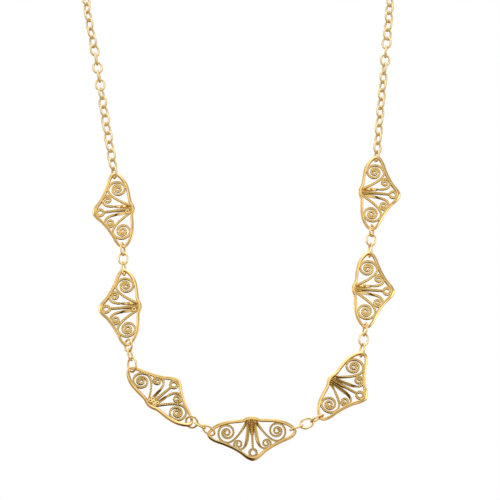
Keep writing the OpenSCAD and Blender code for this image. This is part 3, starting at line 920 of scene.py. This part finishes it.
def makeGapLinks(number, gap, forms):
    insetA, upA, insetB, upB, meetA, meetB, lift = gap
    before, after = plaques[number - 1], plaques[number]
    start = poseOf(before) @ Vector((plaqueFrame["half"] - insetA, upA, 0))
    end = poseOf(after) @ Vector((-plaqueFrame["half"] + insetB, upB, 0))
    facing = (facingOf(before) + facingOf(after)).normalized()
    first = start.lerp(end, meetA) + Vector((0, 0, lift))
    second = start.lerp(end, meetB) + Vector((0, 0, lift))
    reach = (joiningLinks["wire"] + joiningLinks["play"]) / 2
    stops = [start, first, second, end]
    pulls = [reach * (b - a).normalized() for a, b in zip(stops, stops[1:])]
    starts = [start, first - pulls[1], second - pulls[2]]
    ends = [first + pulls[0], second + pulls[1], end]
    for letter, a, b, (turn, width) in zip("abc", starts, ends, forms):
        along, normal = linkAxes(a, b, facing, turn)
        mesh = runTree(linkRow, pointMesh([(a + b) / 2], [along], [normal], [1.0]), {
            "Length": (b - a).length, "Wire": joiningLinks["polished"],
            "Width": width + joiningLinks["polished"] - joiningLinks["wire"],
            "Sides": joiningLinks["sides"], "Wire Sides": joiningLinks["wireSides"],
            "Material": gold["linkGold"]})
        finishPiece(f"link_{number}{number + 1}_{letter}Shown", [mesh])


for number, (gap, forms) in enumerate(zip(joiningLinks["gaps"], joiningLinks["forms"]), 1):
    makeGapLinks(number, gap, forms)
print("joining links are made")


# Trace chain and clasp

strands = {
    # the wire and play of the solid links, and the wire and width shown
    "wire": 0.46, "play": 0.12, "polished": 0.64, "width": 2.98, "sides": 24, "wireSides": 8,
    # how far each link is turned from the chain's facing, left and right by turns
    "turn": 41,
    # how far in from a plaque's end the first link's wire passes, and the facing at the nape
    "inset": 1.43, "napeFacing": 180, "smooth": 10,
}
clasp = {
    "diameter": 5.4, "tube": 1.09, "loop": 2.2, "ring": 3.397, "wire": 0.6, "sink": 0.2,
    "sides": 64, "loopSides": 40, "ringSides": 48, "wireSides": 16,
}
loopX = -(clasp["diameter"] + clasp["loop"]) / 2 + clasp["sink"]
endRingX = (clasp["diameter"] + clasp["ring"] - clasp["tube"] - clasp["wire"]) / 2 - strands["play"]
loopMeet = (strands["wire"] + clasp["wire"]) / 2 + strands["play"]

# The way of each strand: x, y, z and facing in degrees. Twist is how far its links turn on, by number.
leftStrand = {
    "name": "chain_left", "links": 45, "side": -1,
    "start": poseOf(plaques[0]) @ Vector((strands["inset"] - plaqueFrame["half"], 0, 0)),
    "way": [(-36.06, -57.6, -53.3, 2), (-38.91, -49.5, -37.5, 4), (-42.1, -41.5, -21.69, 8),
            (-42.48, -29.5, -11.6, 60), (-36.6, -16.5, -5.4, 110), (-22.5, -4.8, -1.6, 155)],
    "end": (loopX - clasp["loop"] / 2 + loopMeet, 0, 0),
    "twist": [(0, 17), (1, -10), (8, -10), (10, -45), (13, -50), (15, -100), (42, -100), (44, -135)],
}
rightStrand = {
    "name": "chain_right", "links": 43, "side": 1,
    "start": poseOf(plaques[-1]) @ Vector((plaqueFrame["half"] - strands["inset"], 0, 0)),
    "way": [(38.62, -56.2, -53.15, 2), (40.45, -48.3, -37.33, 4), (42.15, -40.5, -21.59, 8),
            (42.46, -29, -11.4, 60), (36.6, -16.5, -5.4, 110), (22.5, -4.8, -1.6, 155)],
    "end": (endRingX + clasp["ring"] / 2 - loopMeet, 0, 0),
    "twist": [(0, -107), (1, -100), (9, -100), (11, -135), (12, -140), (14, -190), (40, -190), (42, -225)],
}


def strandStops(strand):
    # Evenly spaced places along the way, one more than there are links, each with its facing
    nape = (*strand["end"], strands["napeFacing"])
    guide = smoothPath([(*strand["start"], 0), *strand["way"], nape], strands["smooth"])
    run = np.concatenate([[0], np.cumsum(np.linalg.norm(np.diff(guide[:, :3], axis=0), axis=1))])
    stops = np.arange(strand["links"] + 1) * (run[-1] / strand["links"])
    return np.column_stack([np.interp(stops, run, guide[:, c]) for c in range(4)])


def makeStrand(strand):
    stops = strandStops(strand)
    twistAt, twistBy = zip(*strand["twist"])
    reach = (strands["wire"] + strands["play"]) / 2
    rows = []
    for i in range(strand["links"]):
        here, there = Vector(stops[i, :3]), Vector(stops[i + 1, :3])
        pull = reach * (there - here).normalized()
        a = here if i == 0 else here - pull
        b = there if i == strand["links"] - 1 else there + pull
        look = math.radians((stops[i, 3] + stops[i + 1, 3]) / 2)
        facing = Vector((strand["side"] * math.sin(look), -math.cos(look), 0))
        swing = strands["turn"] if i % 2 == 0 else -strands["turn"]
        along, normal = linkAxes(a, b, facing, strand["side"] * (swing + np.interp(i, twistAt, twistBy)))
        rows.append(((a + b) / 2, along, normal, (b - a).length))
    places, directions, facings, lengths = zip(*rows)
    length = lengths[1]  # of a link between two others, from which each is stretched to its own
    stretches = [(each + strands["wire"]) / (length + strands["wire"]) for each in lengths]
    mesh = runTree(linkRow, pointMesh(places, directions, facings, stretches), {
        "Length": length, "Width": strands["width"], "Wire": strands["polished"],
        "Sides": strands["sides"], "Wire Sides": strands["wireSides"], "Material": gold["chainGold"]})
    finishPiece(strand["name"] + "Shown", [mesh])


def roundRing(diameter, wire, sides, matrix=Matrix.Identity(4)):
    mesh = runTree(linkRow, pointMesh([(0, 0, 0)], [(0, 0, 1)], [(0, 1, 0)], [1.0]), {
        "Length": diameter, "Width": diameter + wire, "Wire": wire, "Oval": 0.0, "Sides": sides,
        "Wire Sides": clasp["wireSides"], "Material": gold["chainGold"]})
    mesh.transform(matrix)
    return mesh


def makeClasp():
    body = roundRing(clasp["diameter"], clasp["tube"], clasp["sides"])
    loop = roundRing(clasp["loop"], clasp["wire"], clasp["loopSides"], Matrix.Translation((loopX, 0, 0)))
    finishPiece("claspShown", [body, loop])
    lying = Matrix.Translation((endRingX, 0, 0)) @ Matrix.Rotation(math.radians(90), 4, "X")
    endRing = roundRing(clasp["ring"], clasp["wire"], clasp["ringSides"], lying)
    finishPiece("clasp_end_ringShown", [endRing])


makeStrand(leftStrand)
makeStrand(rightStrand)
print("chain strands are made")
makeClasp()
print("clasp is made")
